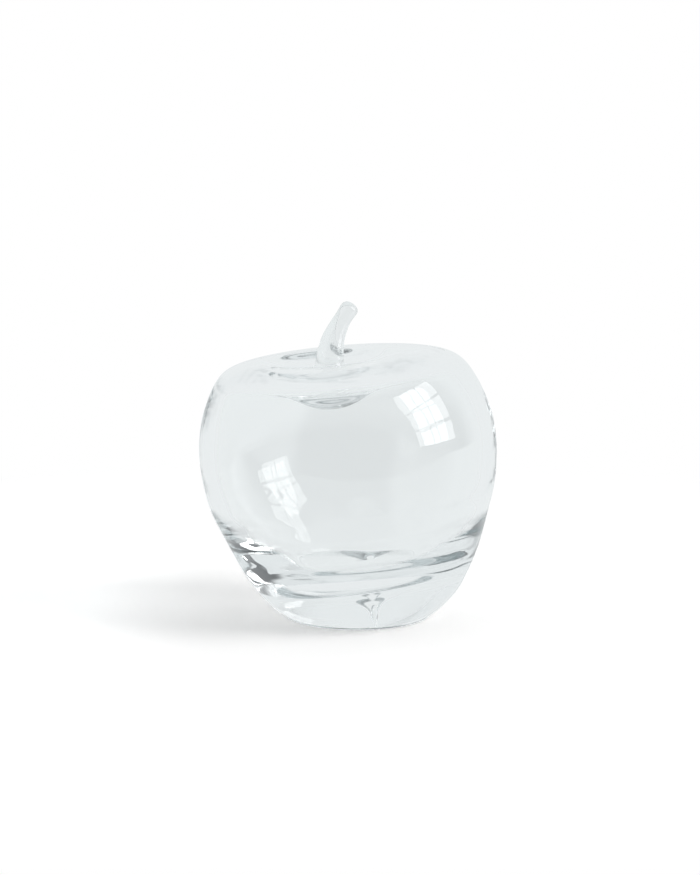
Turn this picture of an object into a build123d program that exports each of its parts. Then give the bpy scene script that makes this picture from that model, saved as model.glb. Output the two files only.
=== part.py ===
"""Art glass apple: clear blown glass, hollow, with a heavy foot and a curved solid stem.

The apple is worked hot from five masses of the same clear glass, each fused to the one before:
the blown bubble with its dimpled top, a second gather cast round its foot, the bit that closes
the blow hole underneath, the pad dropped into the dimple, and the stem drawn up out of the pad.
It stands on a flat that is ground a few degrees off square, so the whole apple leans.

The origin is the middle of the ground flat and +Z is up. The apple leans towards -X.
Outlines are drawn in the apple's own leaning section: across is the distance from the axis and
up is the height along the axis, both in millimetres.
"""

import math
import os

from build123d import *

# Driving sizes of the whole apple
body_width = 100.0
widest_height = 57.2
crest_height = 88.8
crest_width = 48.0
foot_depth = 3.8  # glass that grinding took away under the axis
lean_angle = 7.0
axis_foot_offset = 5.92  # from the middle of the flat to where the leaning axis meets it

# Outer outline: points at shares of the box from one end of each curve to the other
flank_shares = (
    (0.562, 0.116),
    (0.656, 0.192),
    (0.732, 0.287),
    (0.85, 0.489),
    (0.94, 0.687),
    (0.978, 0.81),
)
shoulder_shares = ((0.058, 0.358), (0.215, 0.699), (0.469, 0.934))

# Dimple in the top, which sits a little off the apple's axis
dimple_width = 40.0
dimple_depth = 12.7
dimple_offset = 3.0
dimple_shares = ((0.35, 0.25), (0.615, 0.645))

# Cavity: the wall follows the outer outline, and the floor is a ring-shaped trough
wall = 5.5
trough_width = 40.0
trough_height = 19.2
flank_wall_shares = (0.72, 0.86)
shoulder_wall_shares = (0.25, 0.5, 0.75)
dimple_wall_shares = (0.3, 0.6)
corner_shares = ((0.54, 0.12), (0.86, 0.5))  # from the trough to the wall beside the flank

# Funnel and blow hole in the middle of the floor
funnel_width = 15.0
funnel_rim_height = 19.8
funnel_throat_height = 12.2
funnel_shares = ((0.23, 0.28), (0.46, 0.5), (0.67, 0.76))
blow_hole_width = 1.2

# Gather cast round the foot
neck_width = 10.0
neck_shoulder_height = 10.4
floor_skin = 4.6
gather_lip_share = 0.62
gather_lip_angle = 46.0
foot_bevel = 0.7

# Bit that closes the blow hole
seal_thickness = 8.6
seal_nib_height = 1.2

# Pad of glass in the dimple
pad_rim_share = 0.46
pad_height = 8.0
pad_meniscus_shares = ((0.15, 1.0), (0.5, 1.8))

# Stem: sections at shares of its length, from the pad to the tip
stem_root_width = 9.6
stem_neck_width = 8.8
stem_waist_width = 6.2
stem_tip_width = 5.8
stem_neck_share = 0.3
stem_waist_share = 0.7
stem_tilt = 10.0
stem_straight = 7.5
stem_bend_radius = 19.4
stem_bend_angle = 44.0

overrun = 4.0  # how far every cutting shape runs past what it cuts

half_width = body_width / 2
crest_radius = crest_width / 2
dimple_radius = dimple_width / 2
trough_radius = trough_width / 2
neck_radius = neck_width / 2
blow_hole_radius = blow_hole_width / 2
ceiling_height = crest_height - wall
dimple_floor_height = crest_height - dimple_depth
pad_top_height = dimple_floor_height + pad_height

# The leaning section, once on the apple's axis and once on the dimple's
lean = math.radians(lean_angle)
across_direction = Vector(math.cos(lean), 0, math.sin(lean))
axis_direction = Vector(-math.sin(lean), 0, math.cos(lean))
axis_foot = Vector(axis_foot_offset, 0, 0)
dimple_foot = axis_foot - dimple_offset * across_direction
apple_section = Plane(origin=axis_foot, x_dir=across_direction, z_dir=(0, -1, 0))
dimple_section = Plane(origin=dimple_foot, x_dir=across_direction, z_dir=(0, -1, 0))
apple_axis = Axis(axis_foot, axis_direction)
dimple_axis = Axis(dimple_foot, axis_direction)

outwards = Vector(1, 0)
inwards = Vector(-1, 0)
upwards = Vector(0, 1)


def between(start, end, shares):
    """Points in the box from start to end, at shares of its width and of its height."""
    span = end - start
    return [start + Vector(across * span.X, up * span.Y) for across, up in shares]


def beneath(curve, shares, depth):
    """Points at a depth to the left of an outline, which is the side its glass is on."""
    return [curve @ share + depth * (curve % share).rotate(Axis.Z, 90) for share in shares]


def smooth(points, start_direction, end_direction):
    """A curve through points that leaves the first and reaches the last in given directions."""
    return Spline(points, tangents=[start_direction, end_direction], tangent_scalars=[1, 1])


def closed_outline(curves, corners):
    """Draws joined curves, and straight lines past the corners back to where they start."""
    for curve in curves:
        add(curve)
    Polyline([curves[-1] @ 1, *corners, curves[0] @ 0])


# Outer outline, from the bottom of the axis up the flank, over the shoulder, down the dimple
bottom_point = Vector(0, -foot_depth)
widest_point = Vector(half_width, widest_height)
crest_point = Vector(crest_radius, crest_height)
dimple_rim_point = Vector(dimple_radius, crest_height)
dimple_floor_point = Vector(0, dimple_floor_height)

flank_points = between(bottom_point, widest_point, flank_shares)
flank = smooth([bottom_point, *flank_points, widest_point], outwards, upwards)

shoulder_points = between(widest_point, crest_point, shoulder_shares)
shoulder = smooth([widest_point, *shoulder_points, crest_point], upwards, inwards)

dimple_points = between(dimple_rim_point, dimple_floor_point, dimple_shares)
dimple = smooth([dimple_rim_point, *dimple_points, dimple_floor_point], inwards, inwards)

# Cavity outline, from the blow hole up the funnel, over the floor and up the wall
throat_point = Vector(blow_hole_radius, funnel_throat_height)
funnel_rim_point = Vector(funnel_width / 2, funnel_rim_height)
trough_point = Vector(trough_radius, trough_height)
widest_wall_point = Vector(half_width - wall, widest_height)
ceiling_point = Vector(crest_radius, ceiling_height)

funnel_points = between(throat_point, funnel_rim_point, funnel_shares)
funnel = smooth([throat_point, *funnel_points, funnel_rim_point], upwards, outwards)

floor_hill = smooth([funnel_rim_point, trough_point], outwards, outwards)

flank_wall_points = beneath(flank, flank_wall_shares, wall)
corner_points = between(trough_point, flank_wall_points[0], corner_shares)
lower_wall_points = [trough_point, *corner_points, *flank_wall_points, widest_wall_point]
lower_wall = smooth(lower_wall_points, outwards, upwards)

shoulder_wall_points = beneath(shoulder, shoulder_wall_shares, wall)
upper_wall = smooth([widest_wall_point, *shoulder_wall_points, ceiling_point], upwards, inwards)

# Underside of the dimple, which hangs into the cavity
bump_rim_point = Vector(dimple_radius, ceiling_height)
bump_bottom_point = Vector(0, ceiling_height - dimple_depth)
bump_points = beneath(dimple, dimple_wall_shares, wall)
bump = smooth([bump_rim_point, *bump_points, bump_bottom_point], inwards, inwards)

# Seam between bubble and gather: under the cavity's floor, then out to the gather's lip
neck_shoulder_point = Vector(neck_radius, neck_shoulder_height)
lip_point = flank @ gather_lip_share
lip_direction = outwards.rotate(Axis.Z, gather_lip_angle)
lip_overrun_point = lip_point + overrun * lip_direction
skin_point = Vector(trough_radius, trough_height - floor_skin)
seam = smooth([neck_shoulder_point, skin_point, lip_point], outwards, lip_direction)

# The full outer form of the apple, before the dimple and the cavity
with BuildPart() as apple_form:
    with BuildSketch(apple_section):
        with BuildLine():
            closed_outline([flank, shoulder], [Vector(0, crest_height)])
        make_face()
    revolve(axis=apple_axis)

# The air inside: blow hole, funnel and cavity, with the dimple's underside hanging into it
with BuildPart() as air_inside:
    with BuildSketch(apple_section):
        with BuildLine():
            closed_outline(
                [funnel, floor_hill, lower_wall, upper_wall],
                [
                    Vector(0, ceiling_height),
                    Vector(0, seal_thickness),
                    Vector(blow_hole_radius, seal_thickness),
                ],
            )
        make_face()
    revolve(axis=apple_axis)
    with BuildSketch(dimple_section):
        with BuildLine():
            closed_outline(
                [bump],
                [
                    Vector(0, ceiling_height + overrun),
                    Vector(dimple_radius, ceiling_height + overrun),
                ],
            )
        make_face()
    revolve(axis=dimple_axis, mode=Mode.SUBTRACT)

# All that lies on the bubble's side of the seam: the space above it, and the neck below
with BuildPart() as bubble_side:
    with BuildSketch(apple_section):
        with BuildLine():
            closed_outline(
                [seam],
                [
                    lip_overrun_point,
                    Vector(half_width + overrun, lip_overrun_point.Y),
                    Vector(half_width + overrun, crest_height + overrun),
                    Vector(0, crest_height + overrun),
                    Vector(0, seal_thickness),
                    Vector(neck_radius, seal_thickness),
                ],
            )
        make_face()
    revolve(axis=apple_axis)

# Blown bubble: the wall, the dimpled top, the floor with its funnel, and the neck
with BuildPart() as blown_body:
    add(apple_form.part)
    add(bubble_side.part, mode=Mode.INTERSECT)
    with BuildSketch(dimple_section):
        with BuildLine():
            closed_outline(
                [dimple],
                [
                    Vector(0, crest_height + overrun),
                    Vector(dimple_radius, crest_height + overrun),
                ],
            )
        make_face()
    revolve(axis=dimple_axis, mode=Mode.SUBTRACT)
    add(air_inside.part, mode=Mode.SUBTRACT)

# Bit that closes the blow hole: a disc in the neck's mouth, with a nib drawn up the hole
with BuildPart() as blow_hole_seal:
    nib_foot_point = Vector(blow_hole_radius, seal_thickness)
    nib_top_point = Vector(0, seal_thickness + seal_nib_height)
    with BuildSketch(apple_section):
        with BuildLine():
            closed_outline(
                [smooth([nib_foot_point, nib_top_point], upwards, inwards)],
                [
                    Vector(0, -foot_depth - overrun),
                    Vector(neck_radius, -foot_depth - overrun),
                    Vector(neck_radius, seal_thickness),
                ],
            )
        make_face()
    revolve(axis=apple_axis)
    split(bisect_by=Plane.XY)

# Heavy gather round the foot, ground flat below and bevelled where it was polished
with BuildPart() as base_gather:
    add(apple_form.part)
    add(bubble_side.part, mode=Mode.SUBTRACT)
    split(bisect_by=Plane.XY)
    add(blow_hole_seal.part, mode=Mode.SUBTRACT)
    ground_flat = base_gather.faces().sort_by(Axis.Z)[0]
    chamfer(ground_flat.outer_wire().edges(), foot_bevel)

# Pad in the bottom of the dimple: its seat is the dimple itself, its top sweeps up to the stem
with BuildPart() as stem_pad:
    pad_seat = dimple.trim(pad_rim_share, 1)
    pad_root_point = Vector(stem_root_width / 2, pad_top_height)
    pad_meniscus_points = between(pad_root_point, pad_seat @ 0, pad_meniscus_shares)
    with BuildSketch(dimple_section):
        with BuildLine():
            Spline([pad_root_point, *pad_meniscus_points, pad_seat @ 0])
            add(pad_seat)
            Polyline([pad_seat @ 1, Vector(0, pad_top_height), pad_root_point])
        make_face()
    revolve(axis=dimple_axis)

# Stem: a solid rod that rises out of the pad, bends over and ends in a rounded tip
with BuildPart() as stem:
    with BuildLine(dimple_section) as stem_line:
        stem_run = PolarLine((0, pad_top_height), stem_straight, 90 - stem_tilt)
        JernArc(stem_run @ 1, stem_run % 1, stem_bend_radius, -stem_bend_angle)
    stem_path = stem_line.wire()
    with BuildSketch(Plane(dimple_foot + pad_top_height * axis_direction, z_dir=axis_direction)):
        Circle(stem_root_width / 2)
    for share, width in (
        (stem_neck_share, stem_neck_width),
        (stem_waist_share, stem_waist_width),
        (1, stem_tip_width),
    ):
        with BuildSketch(Plane(stem_path.location_at(share))):
            Circle(width / 2)
    loft()
    with Locations(stem_path.location_at(1)):
        Sphere(stem_tip_width / 2)

blown_body.part.label = "blown_body"
base_gather.part.label = "base_gather"
blow_hole_seal.part.label = "blow_hole_seal"
stem_pad.part.label = "stem_pad"
stem.part.label = "stem"

os.makedirs("parts", exist_ok=True)
export_step(blown_body.part, "parts/blown_body.step")
export_step(base_gather.part, "parts/base_gather.step")
export_step(blow_hole_seal.part, "parts/blow_hole_seal.step")
export_step(stem_pad.part, "parts/stem_pad.step")
export_step(stem.part, "parts/stem.step")
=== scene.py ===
# %% [markdown]
# # A blown glass apple
# This lesson dresses a imported CAD model of a clear glass apple: a hollow body with a heavy foot,
# a dimple in its top and a curved solid stem. Clear glass has no colour of its own to paint, so
# everything that shows is shape, thickness and what stands around it. Most of the work below is
# therefore in two closed surfaces, the outside and the hollow, and in the light.

# %% [markdown]
# ## The fixed frame
# The CAD nodes are loaded first, and the box round the body and the height of the stem's top
# are measured and printed.

# %% The fixed frame
import math

import bpy
import numpy as np
from mathutils import Matrix, Vector


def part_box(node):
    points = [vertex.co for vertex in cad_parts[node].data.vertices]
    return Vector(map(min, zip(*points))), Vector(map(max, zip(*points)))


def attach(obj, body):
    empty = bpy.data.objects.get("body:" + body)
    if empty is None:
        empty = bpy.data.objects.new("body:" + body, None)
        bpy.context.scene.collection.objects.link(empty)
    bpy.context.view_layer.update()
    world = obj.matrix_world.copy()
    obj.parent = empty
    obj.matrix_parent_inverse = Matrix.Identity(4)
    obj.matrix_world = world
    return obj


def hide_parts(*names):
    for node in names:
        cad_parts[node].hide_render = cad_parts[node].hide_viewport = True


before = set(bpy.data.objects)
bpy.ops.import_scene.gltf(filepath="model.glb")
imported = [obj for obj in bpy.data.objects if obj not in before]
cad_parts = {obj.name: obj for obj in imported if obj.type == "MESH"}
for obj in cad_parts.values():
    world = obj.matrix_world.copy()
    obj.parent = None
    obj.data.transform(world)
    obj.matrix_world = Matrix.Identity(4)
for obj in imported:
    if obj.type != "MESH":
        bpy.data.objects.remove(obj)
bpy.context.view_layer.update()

body_low, body_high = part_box("blown_body")
stem_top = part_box("stem")[1].z
print("body", [round(v, 4) for v in body_high - body_low], "stem top", round(stem_top, 4))

# %% [markdown]
# ## The camera
# The photograph looks almost level at the apple, from a little above. A long lens keeps the
# outline close to a true elevation. The frame is 700 by 875 pixels, so the lens is worked out
# from how many of those pixels a metre would cover at the apple.

# %% Camera
FRAME_HIGH = 875  # pixels
PIXELS_PER_METRE = 2978  # at the apple's middle
DISTANCE = 0.9
ELEVATION = math.radians(9.3)
SENSOR_HIGH = 24.0  # millimetres
AIM = Vector((-0.0003, 0.0, 0.0605))

bpy.ops.object.camera_add()
camera = bpy.context.object
camera.name = "camera"
camera.location = AIM + DISTANCE * Vector((0, -math.cos(ELEVATION), math.sin(ELEVATION)))
camera.rotation_euler = (math.pi / 2 - ELEVATION, 0, 0)
camera.data.sensor_fit = "VERTICAL"
camera.data.sensor_height = SENSOR_HIGH
camera.data.lens = SENSOR_HIGH * DISTANCE * PIXELS_PER_METRE / FRAME_HIGH
bpy.context.scene.camera = camera
print("lens", round(camera.data.lens, 1), "mm")

# %% [markdown]
# ## Sizes of the glass
# These are the apple's own sizes in metres. It is drawn upright on its axis, from the ground
# cut up, and leaned over at the end. Each profile is a list of rings: how far from the axis, and
# how high.

# %% Sizes
SIDES = 64
ROUNDING = 3 / (2 + math.cos(2 * math.pi / SIDES))  # subdivision draws a ring of points inwards
LEAN = math.radians(7.0)
AXIS_FOOT = Vector((0.00595, 0, 0))
CROWN_TILT = math.radians(2.0)
TILT_FROM, TILT_FULL = 0.060, 0.084  # heights between which the crown tips back

# %% [markdown]
# ## A lathe made of extrusions
# The glassblower turns the pipe, and every ring of the apple is a circle round its axis. The
# same can be done in edit mode: start from one circle, then extrude it and resize it, ring after
# ring. A Subdivision Surface modifier rounds the cage, but it also draws it inwards. So the ring
# sizes are first pushed out by the small sum that makes the smooth surface pass through them.


# %% Lathe helpers
def select_only(*pieces):
    """Nothing is selected but these pieces, and the first of them is active."""
    bpy.ops.object.select_all(action="DESELECT")
    for piece in pieces:
        piece.select_set(True)
    bpy.context.view_layer.objects.active = pieces[0]


def pushed_out(stations):
    """Cage rings whose smooth surface passes through the stations. The two ends stay put."""
    wanted = np.array(stations, float)
    count = len(wanted)
    spread = np.eye(count)
    for row in range(1, count - 1):
        spread[row, row - 1 : row + 2] = (1 / 6, 4 / 6, 1 / 6)
    return np.linalg.solve(spread, wanted)


def crown_tilt(height):
    """How far the rings of the crown tip back towards level, in radians."""
    rise = min(max((height - TILT_FROM) / (TILT_FULL - TILT_FROM), 0), 1)
    return CROWN_TILT * rise * rise * (3 - 2 * rise)


def lathe(name, stations):
    """A turned surface through stations of radius, height and sideways shift, open at both ends."""
    cage = pushed_out(stations)
    radius, height, aside = cage[0]
    tilt = 0
    bpy.ops.object.select_all(action="DESELECT")
    bpy.ops.mesh.primitive_circle_add(
        vertices=SIDES, radius=radius * ROUNDING, location=(aside, 0, height)
    )
    piece = bpy.context.object
    piece.name = name
    bpy.ops.object.transform_apply(location=True, rotation=False, scale=False)
    bpy.ops.object.mode_set(mode="EDIT")
    bpy.ops.mesh.select_mode(type="VERT")
    bpy.ops.mesh.select_all(action="SELECT")
    for next_radius, next_height, next_aside in cage[1:]:
        step = (next_aside - aside, 0, next_height - height)
        bpy.ops.mesh.extrude_region_move(TRANSFORM_OT_translate={"value": step})
        growth = next_radius / radius
        centre = (next_aside, 0, next_height)
        bpy.ops.transform.resize(value=(growth, growth, growth), center_override=centre)
        next_tilt = crown_tilt(next_height)
        bpy.ops.transform.rotate(value=tilt - next_tilt, orient_axis="Y", center_override=centre)
        radius, height, aside, tilt = next_radius, next_height, next_aside, next_tilt
    return piece


def close_ring():
    """Draws the ring that is selected in edit mode together into one point."""
    bpy.ops.mesh.merge(type="CENTER")


def smoothed(piece, levels=2):
    """Subdivides a cage for good."""
    bpy.ops.object.mode_set(mode="OBJECT")
    select_only(piece)
    bpy.ops.object.modifier_add(type="SUBSURF")
    rounding = piece.modifiers[-1]
    rounding.levels = rounding.render_levels = levels
    bpy.ops.object.modifier_apply(modifier=rounding.name)


# %% [markdown]
# ## The outside
# An apple is widest above its middle, where the bubble was blown out, and narrows to the foot,
# where the glass is thick. The top is pushed in to a dimple. The profile starts under the ground
# cut and ends at the root of the stem. The flank's rings weren't picked by eye. They come out of
# a least-squares fit to points read off the outline, rounded and then changed a little.
# The heights in the dimple come out of the search that the cell on the hollow tells of.

# %% Outside
FLANK = [
    (0.0090, -0.0038, 0.0016),
    (0.0199, -0.0018, 0.0012),
    (0.0281, 0.0033, 0.0008),
    (0.0328, 0.0079, 0.0003),
    (0.0366, 0.0137, 0.0001),
    (0.0399, 0.0198, 0.0000),
    (0.0425, 0.0260, 0.0000),
    (0.0448, 0.0321, 0.0000),
    (0.0470, 0.0381, 0.0000),
    (0.0487, 0.0444, -0.0001),
    (0.0496, 0.0508, 0.0000),
    (0.0499, 0.0571, 0.0000),
    (0.0496, 0.0629, 0.0000),
    (0.0485, 0.0685, 0.0000),
    (0.0468, 0.0740, 0.0002),
    (0.0444, 0.0793, 0.0005),
    (0.0416, 0.0837, 0.0006),
    (0.0378, 0.0867, 0.0002),
    (0.0322, 0.0882, -0.0003),
    (0.0264, 0.0886, -0.0006),
]
DIMPLE = [
    (0.02080, 0.08838, -0.0022),
    (0.01680, 0.08686, -0.0028),
    (0.01340, 0.08467, -0.0030),
    (0.01040, 0.08272, -0.0030),
    (0.00760, 0.08255, -0.0029),
    (0.00550, 0.08510, -0.0027),
    (0.00470, 0.08716, -0.0025),
]
skin = lathe("apple_glass", FLANK + DIMPLE)
bpy.ops.object.mode_set(mode="OBJECT")
print(len(skin.data.polygons), "faces in the cage of the outside")

# %% [markdown]
# ## The stem
# The stem is drawn up out of the same hot glass, so there is no line between them. The open ring
# at the top of the lathe goes on: it is extruded along the stem, leaned over a little at each
# step, and closed in a rounded tip.

# %% Stem
STEM = [  # radius, sideways place, height and heading of each ring
    (0.0045, -0.0020, 0.0893, 9),
    (0.0042, -0.0013, 0.0922, 13),
    (0.0038, -0.0003, 0.0950, 22),
    (0.0033, 0.0014, 0.0978, 32),
    (0.0029, 0.0033, 0.1006, 36),
    (0.00285, 0.0047, 0.1022, 38),
    (0.0031, 0.0059, 0.1036, 40),
    (0.0029, 0.0068, 0.1046, 42),
    (0.0020, 0.0075, 0.1053, 42),
    (0.0009, 0.0077, 0.1056, 42),
]

bpy.ops.object.mode_set(mode="EDIT")
radius, height, aside = DIMPLE[-1]
heading = math.degrees(CROWN_TILT)
for new_radius, new_aside, new_height, new_heading in STEM:
    step = (new_aside - aside, 0, new_height - height)
    centre = (new_aside, 0, new_height)
    bpy.ops.mesh.extrude_region_move(TRANSFORM_OT_translate={"value": step})
    bpy.ops.transform.resize(value=(new_radius / radius,) * 3, center_override=centre)
    bpy.ops.transform.rotate(
        value=math.radians(heading - new_heading), orient_axis="Y", center_override=centre
    )
    radius, height, aside, heading = new_radius, new_height, new_aside, new_heading
close_ring()
smoothed(skin)
print("stem tip", round(max(v.co.z for v in skin.data.vertices) * 1000, 1), "mm up the axis")

# %% [markdown]
# ## Leaning and grinding
# The maker grinds the foot flat at a few degrees to the axis, so the finished apple leans. Here
# it is leaned first, then cut level with a bisect, filled, and given the small bevel that a
# polishing wheel leaves.


# %% Lean and grind
def lean(piece):
    """Turns a piece from its upright axis to the apple's leaning one."""
    select_only(piece)
    piece.rotation_euler = (0, -LEAN, 0)
    piece.location = AXIS_FOOT
    bpy.ops.object.transform_apply(location=True, rotation=True, scale=False)


def select_where(piece, kind, test):
    """Selects the vertices, edges or faces of a piece that pass a test. Leaves edit mode on."""
    bpy.ops.object.mode_set(mode="EDIT")
    bpy.ops.mesh.select_mode(type=kind)
    bpy.ops.mesh.select_all(action="DESELECT")
    bpy.ops.object.mode_set(mode="OBJECT")
    vertices = piece.data.vertices
    items = {"VERT": vertices, "EDGE": piece.data.edges, "FACE": piece.data.polygons}[kind]
    for item in items:
        if kind == "VERT":
            item.select = test(item.co)
        else:
            item.select = all(test(vertices[i].co) for i in item.vertices)
    bpy.ops.object.mode_set(mode="EDIT")


ARRIS = 0.0006
ARRIS_STEPS = ((0.00012, 0.0004), (0.00036, 0.0002))  # inwards and downwards, in turn
NEAR = 0.00001
HAIR = 0.000001  # points closer than this count as on the cut
SLIVER = 0.00025  # the cut leaves edges shorter than this

lean(skin)
bpy.ops.object.mode_set(mode="EDIT")
bpy.ops.mesh.select_all(action="SELECT")
bpy.ops.mesh.bisect(
    plane_co=(0, 0, ARRIS),
    plane_no=(0, 0, 1),
    clear_inner=True,
    use_fill=True,
    threshold=HAIR,
)
bpy.ops.mesh.select_all(action="SELECT")
bpy.ops.mesh.normals_make_consistent(inside=False)
select_where(skin, "VERT", lambda place: place.z < ARRIS + NEAR)
bpy.ops.mesh.remove_doubles(threshold=SLIVER)
select_where(skin, "FACE", lambda place: place.z < ARRIS + NEAR)
for inwards, downwards in ARRIS_STEPS:
    bpy.ops.mesh.inset(thickness=inwards, depth=downwards)
bpy.ops.object.mode_set(mode="OBJECT")
print("lowest point", round(min(v.co.z for v in skin.data.vertices) * 1000, 3), "mm")

# %% [markdown]
# ## The hollow
# The blown bubble follows the outside at the thickness of the wall. Its floor is a shallow ring
# trough round a low hill, and in the middle of the hill the blow hole opens as a funnel, which
# runs down the foot as a thread of air and stops above the ground flat. Under the dimple the
# glass hangs into the hollow as a bowl. The floor's rings were chosen one by one, but for a ramp
# that shifts them sideways. Nearly all rings of the wall and ceiling are a program's offset of the
# outside. The rings of the underside are a search's result: it traced light through the bowl and
# kept the rings that came nearer to the photograph.

# %% Hollow
THREAD_AND_FLOOR = [
    (0.00015, 0.0080, 0.0016),
    (0.00022, 0.0088, 0.0016),
    (0.00028, 0.0098, 0.0016),
    (0.00045, 0.0106, 0.0016),
    (0.0008, 0.0114, 0.0015),
    (0.0013, 0.0122, 0.0015),
    (0.0020, 0.0130, 0.0014),
    (0.0030, 0.0138, 0.0012),
    (0.0046, 0.0145, 0.0009),
    (0.0070, 0.0151, 0.0005),
    (0.0102, 0.0156, 0.0002),
    (0.0135, 0.0159, 0.0001),
    (0.0162, 0.0160, 0.0000),
    (0.0185, 0.0161, 0.0003),
    (0.0215, 0.0166, 0.0009),
    (0.0246, 0.0177, 0.0012),
    (0.0278, 0.0194, 0.0012),
    (0.0308, 0.0217, 0.0012),
    (0.0335, 0.0245, 0.0012),
    (0.0358, 0.0277, 0.0012),
    (0.0379, 0.0312, 0.0009),
    (0.0398, 0.0350, 0.0005),
    (0.0413, 0.0389, 0.0001),
]
WALL_AND_CEILING = [
    (0.0427, 0.0426, 0.0000),
    (0.0437, 0.0472, 0.0000),
    (0.0443, 0.0521, 0.0000),
    (0.0445, 0.0574, 0.0000),
    (0.0441, 0.0628, 0.0000),
    (0.0431, 0.0677, 0.0000),
    (0.0417, 0.0723, 0.0000),
    (0.0398, 0.0765, 0.0000),
    (0.0377, 0.0800, 0.0000),
    (0.0346, 0.0821, -0.0001),
    (0.0306, 0.0830, -0.0004),
    (0.0267, 0.0832, -0.0009),
    (0.0235, 0.0831, -0.0016),
]
UNDERSIDE = [
    (0.02020, 0.08250, -0.0024),
    (0.01760, 0.08150, -0.0030),
    (0.01565, 0.08030, -0.0030),
    (0.01417, 0.07893, -0.0030),
    (0.01298, 0.07743, -0.0030),
    (0.01159, 0.07542, -0.0030),
    (0.00961, 0.07343, -0.0030),
    (0.00718, 0.07203, -0.0030),
    (0.00474, 0.07131, -0.0030),
    (0.00239, 0.07111, -0.0030),
    (0.00100, 0.07108, -0.0030),
]
hollow = lathe("hollow", THREAD_AND_FLOOR + WALL_AND_CEILING + UNDERSIDE)
close_ring()
bpy.ops.object.mode_set(mode="OBJECT")
select_where(hollow, "VERT", lambda place: place.z < THREAD_AND_FLOOR[0][1] + NEAR)
close_ring()
smoothed(hollow)
lean(hollow)
bpy.ops.object.mode_set(mode="EDIT")
bpy.ops.mesh.select_all(action="SELECT")
bpy.ops.mesh.normals_make_consistent(inside=True)
bpy.ops.object.mode_set(mode="OBJECT")

# %% [markdown]
# ## One piece of glass
# The gathers melt into each other, so nothing shows where they meet. The outside and the hollow
# are joined as the two skins of one solid, with the hollow's faces turned towards its air. The
# fine arris at the ground flat is the only crease.

# %% One piece of glass
SHARP = math.radians(28)  # creases over this angle stay crisp

select_only(skin, hollow)
bpy.ops.object.join()
apple = bpy.context.object
select_only(apple)
bpy.ops.object.shade_smooth_by_angle(angle=SHARP)
print(len(apple.data.polygons), "faces,", len(apple.data.vertices), "vertices")

# %% [markdown]
# ## Shader maths
# Where the arris is rough, or the paper white, is a sum over the place on the surface. A small
# class wraps a node's output, so that such a sum can be written as one, and the Math nodes for
# it are added on the way.


# %% Shader helpers
class Recipe:
    """The nodes of one material or world."""

    def __init__(self, owner):
        owner.use_nodes = True
        self.tree = owner.node_tree
        self.tree.nodes.clear()

    def add(self, kind, values=None, output=0, **settings):
        """One node: its settings first, then values or links for its inputs."""
        node = self.tree.nodes.new(kind)
        for name, value in settings.items():
            setattr(node, name, value)
        for name, value in (values or {}).items():
            if isinstance(value, Signal):
                self.tree.links.new(value.socket, node.inputs[name])
            else:
                node.inputs[name].default_value = value
        return Signal(self, node.outputs[output] if len(node.outputs) else None)

    def mix(self, factor, first, second):
        """A colour between two others."""
        return self.add(
            "ShaderNodeMix", {"Factor": factor, 6: first, 7: second}, output=2, data_type="RGBA"
        )

    def step(self, signal, low, high):
        """Rises smoothly from 0 to 1 as the signal goes from low to high."""
        return self.add(
            "ShaderNodeMapRange",
            {"Value": signal, "From Min": low, "From Max": high},
            interpolation_type="SMOOTHSTEP",
        )


class Signal:
    """A node's output. Sums and products of signals add the Math nodes for them."""

    def __init__(self, recipe, socket):
        self.recipe = recipe
        self.socket = socket

    def maths(self, operation, first, second):
        return self.recipe.add("ShaderNodeMath", {0: first, 1: second}, operation=operation)

    def __add__(self, other):
        return self.maths("ADD", self, other)

    def __radd__(self, other):
        return self.maths("ADD", other, self)

    def __sub__(self, other):
        return self.maths("SUBTRACT", self, other)

    def __rsub__(self, other):
        return self.maths("SUBTRACT", other, self)

    def __mul__(self, other):
        return self.maths("MULTIPLY", self, other)

    def __rmul__(self, other):
        return self.maths("MULTIPLY", other, self)


# %% [markdown]
# ## Clear glass
# Blown glass is clear but never quite even. The tools leave broad, very shallow waves in it, and
# the fire leaves finer ones. Two noises make them as relief, because they only bend what is seen
# through the glass. The faint blue-green of the melt shows where light goes a long way through
# it. So that colour sits in the volume and not on the surface. The arris under the foot is
# ground, and a little rough.

# %% Clear glass
TINT = (0.15, 0.32, 0.36, 1)
CLEAR = (0.992, 0.998, 0.997, 1)
BROAD = 38  # waves per metre
BROAD_RELIEF = 0.00022
FINE = 140
FINE_RELIEF = 0.00002
BENDING = 1.5  # index of refraction
GROUND_ROUGHNESS = 0.08

glass = bpy.data.materials.new("clear_glass")
recipe = Recipe(glass)
place = recipe.add("ShaderNodeTexCoord", output="Object")
height = recipe.add("ShaderNodeSeparateXYZ", {0: place}, output="Z")
broad = recipe.add("ShaderNodeTexNoise", {"Vector": place, "Scale": BROAD, "Detail": 0.0})
fine = recipe.add("ShaderNodeTexNoise", {"Vector": place, "Scale": FINE, "Detail": 1.0})
relief = broad * BROAD_RELIEF + fine * FINE_RELIEF
waviness = recipe.add(
    "ShaderNodeBump", {"Height": relief, "Strength": 1.0, "Distance": 1.0}, output="Normal"
)
arris = recipe.step(height, ARRIS, ARRIS / 2)
surface = recipe.add(
    "ShaderNodeBsdfPrincipled",
    {
        "Base Color": CLEAR,
        "Roughness": arris * GROUND_ROUGHNESS,
        "IOR": BENDING,
        "Transmission Weight": 1.0,
        "Normal": waviness,
    },
)
body = recipe.add("ShaderNodeVolumeAbsorption", {"Color": TINT, "Density": 1.0})
recipe.add("ShaderNodeOutputMaterial", {"Surface": surface, "Volume": body})
apple.data.materials.clear()
apple.data.materials.append(glass)
print("glass:", len(glass.node_tree.nodes), "nodes")

# %% [markdown]
# ## In the frame
# The CAD model keeps the five gathers as five solids that touch. In clear glass each seam would
# show as a mirror inside the foot. So one piece stands for all of them.

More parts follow.
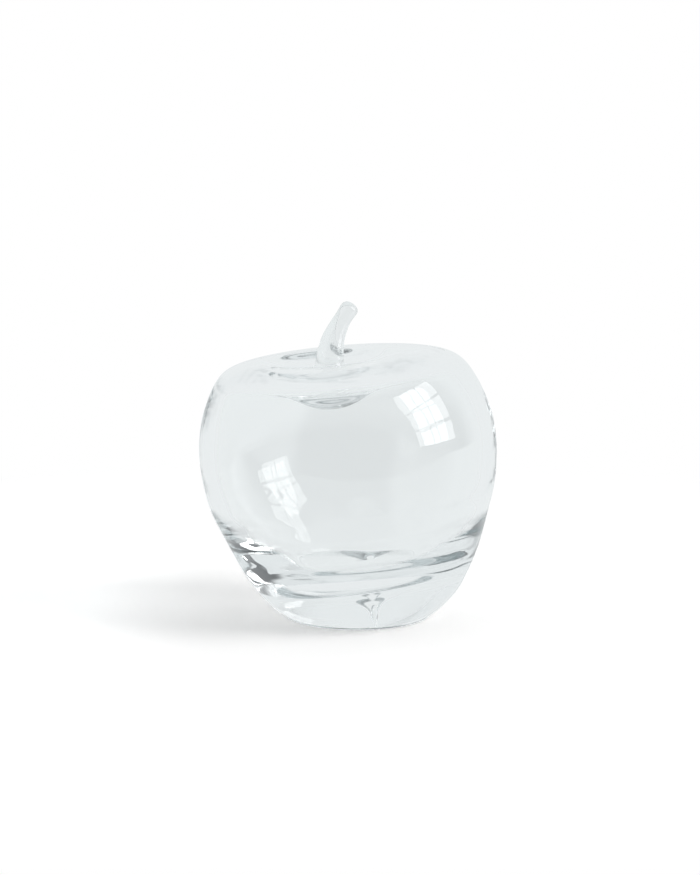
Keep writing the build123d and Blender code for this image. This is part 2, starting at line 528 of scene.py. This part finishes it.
# %% In the frame
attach(apple, "root")
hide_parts("blown_body", "base_gather", "blow_hole_seal", "stem_pad", "stem")
print(apple.name, "stands for all five gathers")

# %% [markdown]
# ## The paper
# The apple stands on white paper that runs back without an edge. The camera sees it burnt out to
# white, with a soft shadow on the left. The paper's colour is painted lighter to the left, a
# painted light that thins that shadow out. The glass shows the same paper from below and through
# its foot as an even glow, like lit paper a little under white. On that glow, shade is painted in
# front of the apple, where the room is dark. A Light Path node tells the two apart. A hair of air
# under the foot keeps the ground flat shining.

# %% Paper
AIR_UNDER_FOOT = 0.0002
FLOOR_SIZE = 6.0
FLOOR_FRONT = 0.27  # the table ends here, nearer to the camera than the apple
PAPER = (0.8, 0.8, 0.8, 1)
EXPOSED_PAPER = (2.17, 2.12, 2.10, 1)  # the camera's exposure makes lit paper white
PAPER_PAINTED_LIGHTER_LEFT = (2.80, 2.75, 2.73, 1)  # painted light: the same, painted lighter far to the left
PAINTED_LIGHT_SPAN = (-0.045, -0.105)  # painted light: the paper turns lighter between these, to the left, so the shadow thins out
BURNT_OUT = (0.16, 0.30)  # further from the apple than this, the paper is plain white
WHITE = (1, 1, 1, 1)
GLOW = (0.835, 0.863, 0.871, 1)  # the paper as the glass shows it
NEAR_GLOW_PAINTED_SHADE = (0.60, 0.62, 0.628, 1)  # painted shade on the glow, just in front of the apple
FRONT_GLOW_PAINTED_SHADE = (0.50, 0.518, 0.525, 1)  # painted shade on the glow, further in front
NEAR_PAINTED_SHADE_SPAN = (-0.03, -0.09)
FRONT_PAINTED_SHADE_SPAN = (-0.10, -0.14)

bpy.ops.object.select_all(action="DESELECT")
bpy.ops.mesh.primitive_plane_add(
    size=FLOOR_SIZE, location=(0, FLOOR_SIZE / 2 - FLOOR_FRONT, -AIR_UNDER_FOOT)
)
floor = bpy.context.object
floor.name = "floor"
bpy.ops.object.transform_apply(location=True, rotation=False, scale=False)

floor_paint = bpy.data.materials.new("floor_paint")
recipe = Recipe(floor_paint)
place = recipe.add("ShaderNodeTexCoord", output="Object")
aside = recipe.add("ShaderNodeSeparateXYZ", {0: place}, output="X")
depth = recipe.add("ShaderNodeSeparateXYZ", {0: place}, output="Y")
is_camera = recipe.add("ShaderNodeLightPath", output="Is Camera Ray")
through_glass = recipe.add("ShaderNodeLightPath", output="Is Glossy Ray")
through_glass = through_glass + recipe.add("ShaderNodeLightPath", output="Is Transmission Ray")
paper = recipe.add("ShaderNodeBsdfDiffuse", {"Color": PAPER})
# Painted light: the paper's colour is painted lighter to the left, so the shadow thins out there.
colour = recipe.mix(recipe.step(aside, *PAINTED_LIGHT_SPAN), EXPOSED_PAPER, PAPER_PAINTED_LIGHTER_LEFT)
exposed = recipe.add("ShaderNodeBsdfDiffuse", {"Color": colour})
white = recipe.add("ShaderNodeEmission", {"Color": WHITE, "Strength": 1.0})
distance = recipe.add("ShaderNodeVectorMath", {0: place}, output="Value", operation="LENGTH")
far = recipe.step(distance, *BURNT_OUT)
exposed = recipe.add("ShaderNodeMixShader", {0: far, 1: exposed, 2: white})
seen = recipe.add("ShaderNodeMixShader", {0: is_camera, 1: paper, 2: exposed})
# Painted shade: seen through the glass, the paper's glow is painted darker in front of the apple.
colour = recipe.mix(recipe.step(depth, *NEAR_PAINTED_SHADE_SPAN), GLOW, NEAR_GLOW_PAINTED_SHADE)
colour = recipe.mix(recipe.step(depth, *FRONT_PAINTED_SHADE_SPAN), colour, FRONT_GLOW_PAINTED_SHADE)
glow = recipe.add("ShaderNodeEmission", {"Color": colour, "Strength": 1.0})
through_glass = recipe.step(through_glass, 0, 1)
mixed = recipe.add("ShaderNodeMixShader", {0: through_glass, 1: seen, 2: glow})
recipe.add("ShaderNodeOutputMaterial", {"Surface": mixed})
floor.data.materials.append(floor_paint)
print("paper:", FLOOR_SIZE, "m, with", len(floor_paint.node_tree.nodes), "nodes")

# %% [markdown]
# ## The room
# Clear glass is drawn by what stands round it. Behind and to the left there is pale backdrop,
# so the middle of the apple is as pale as that. Behind the camera and to the right the room is
# dark. Its reflections and bent images make the grey lines along the rims, which give the glass
# its edges. The ceiling is pale again, and lights the dimple. The window throws most of the
# shadow, so the soft light of the room is cut down for matt surfaces.

# %% Room
BACKDROP = (0.835, 0.863, 0.871, 1)
ROOM = (0.14, 0.148, 0.155, 1)
DARK_BEARING = math.radians(145)  # clockwise from straight behind the apple
DARK_EDGE = (0.10, 0.35)  # cosines of the angle to that bearing
CEILING_EDGE = (0.95, 0.75)  # sines of the angle above level
SOFT_LIGHT_CUT = 0.5

world = bpy.data.worlds.new("studio")
bpy.context.scene.world = world
recipe = Recipe(world)
towards = recipe.add("ShaderNodeTexCoord", output="Generated")
height = recipe.add("ShaderNodeSeparateXYZ", {0: towards}, output="Z")
into_the_room = (math.sin(DARK_BEARING), math.cos(DARK_BEARING), 0)
facing_room = recipe.add(
    "ShaderNodeVectorMath", {0: towards, 1: into_the_room}, output="Value", operation="DOT_PRODUCT"
)
darkness = recipe.step(facing_room, *DARK_EDGE) * recipe.step(height, *CEILING_EDGE)
colour = recipe.mix(darkness, BACKDROP, ROOM)
is_diffuse = recipe.add("ShaderNodeLightPath", output="Is Diffuse Ray")
strength = 1 - is_diffuse * SOFT_LIGHT_CUT
room = recipe.add("ShaderNodeBackground", {"Color": colour, "Strength": strength})
white = recipe.add("ShaderNodeBackground", {"Color": WHITE, "Strength": 1.0})
is_camera = recipe.add("ShaderNodeLightPath", output="Is Camera Ray")
mixed = recipe.add("ShaderNodeMixShader", {0: is_camera, 1: room, 2: white})
recipe.add("ShaderNodeOutputWorld", {"Surface": mixed})
print("room:", len(world.node_tree.nodes), "nodes")

# %% [markdown]
# ## The window
# One tall window stands to the right and a little in front. It is the bright shape on the
# apple's right shoulder, and the glass turns it upside down low on the left. Its panes are area
# lights with gaps between them, because the glazing bars show in both places.

# %% Window
WINDOW_BEARING = math.radians(14)  # towards the camera from straight right
WINDOW_ELEVATION = math.radians(27)
WINDOW_DISTANCE = 1.5
LOOKS_AT = Vector((0, 0, 0.05))
PANE = (0.41, 0.34)
GAP = 0.035
COLUMNS = (-0.5, 0.5)
ROWS = (-1, 0, 1)
LIGHT = 3.3  # radiance of a pane

facing = Vector(
    (
        math.cos(WINDOW_ELEVATION) * math.cos(WINDOW_BEARING),
        -math.cos(WINDOW_ELEVATION) * math.sin(WINDOW_BEARING),
        math.sin(WINDOW_ELEVATION),
    )
)
across = Vector((math.sin(WINDOW_BEARING), math.cos(WINDOW_BEARING), 0))
up = facing.cross(across)
turn = Matrix((across, up, across.cross(up))).transposed().to_4x4()
panes = [(column, row) for column in COLUMNS for row in ROWS]
for column, row in panes:
    place = LOOKS_AT + facing * WINDOW_DISTANCE
    place += across * column * (PANE[0] + GAP) + up * row * (PANE[1] + GAP)
    bpy.ops.object.light_add(type="AREA")
    pane = bpy.context.object
    pane.name = f"window_pane_{column:+.1f}_{row:+.1f}"
    pane.data.shape = "RECTANGLE"
    pane.data.size, pane.data.size_y = PANE
    pane.data.energy = LIGHT * math.pi * PANE[0] * PANE[1]
    pane.matrix_world = Matrix.Translation(place) @ turn
print("window:", len(panes), "panes")

# %% [markdown]
# ## Long light paths
# Light bounces many times inside a solid foot before it gets out. A path that is cut short comes
# out black, so the limits are set high. The Standard view keeps the white paper white.

# %% Render paths
LONGEST_PATH = 200

scene = bpy.context.scene
scene.view_settings.view_transform = "Standard"
scene.cycles.max_bounces = LONGEST_PATH
scene.cycles.transmission_bounces = LONGEST_PATH
scene.cycles.glossy_bounces = LONGEST_PATH
print("paths of up to", LONGEST_PATH, "bounces")
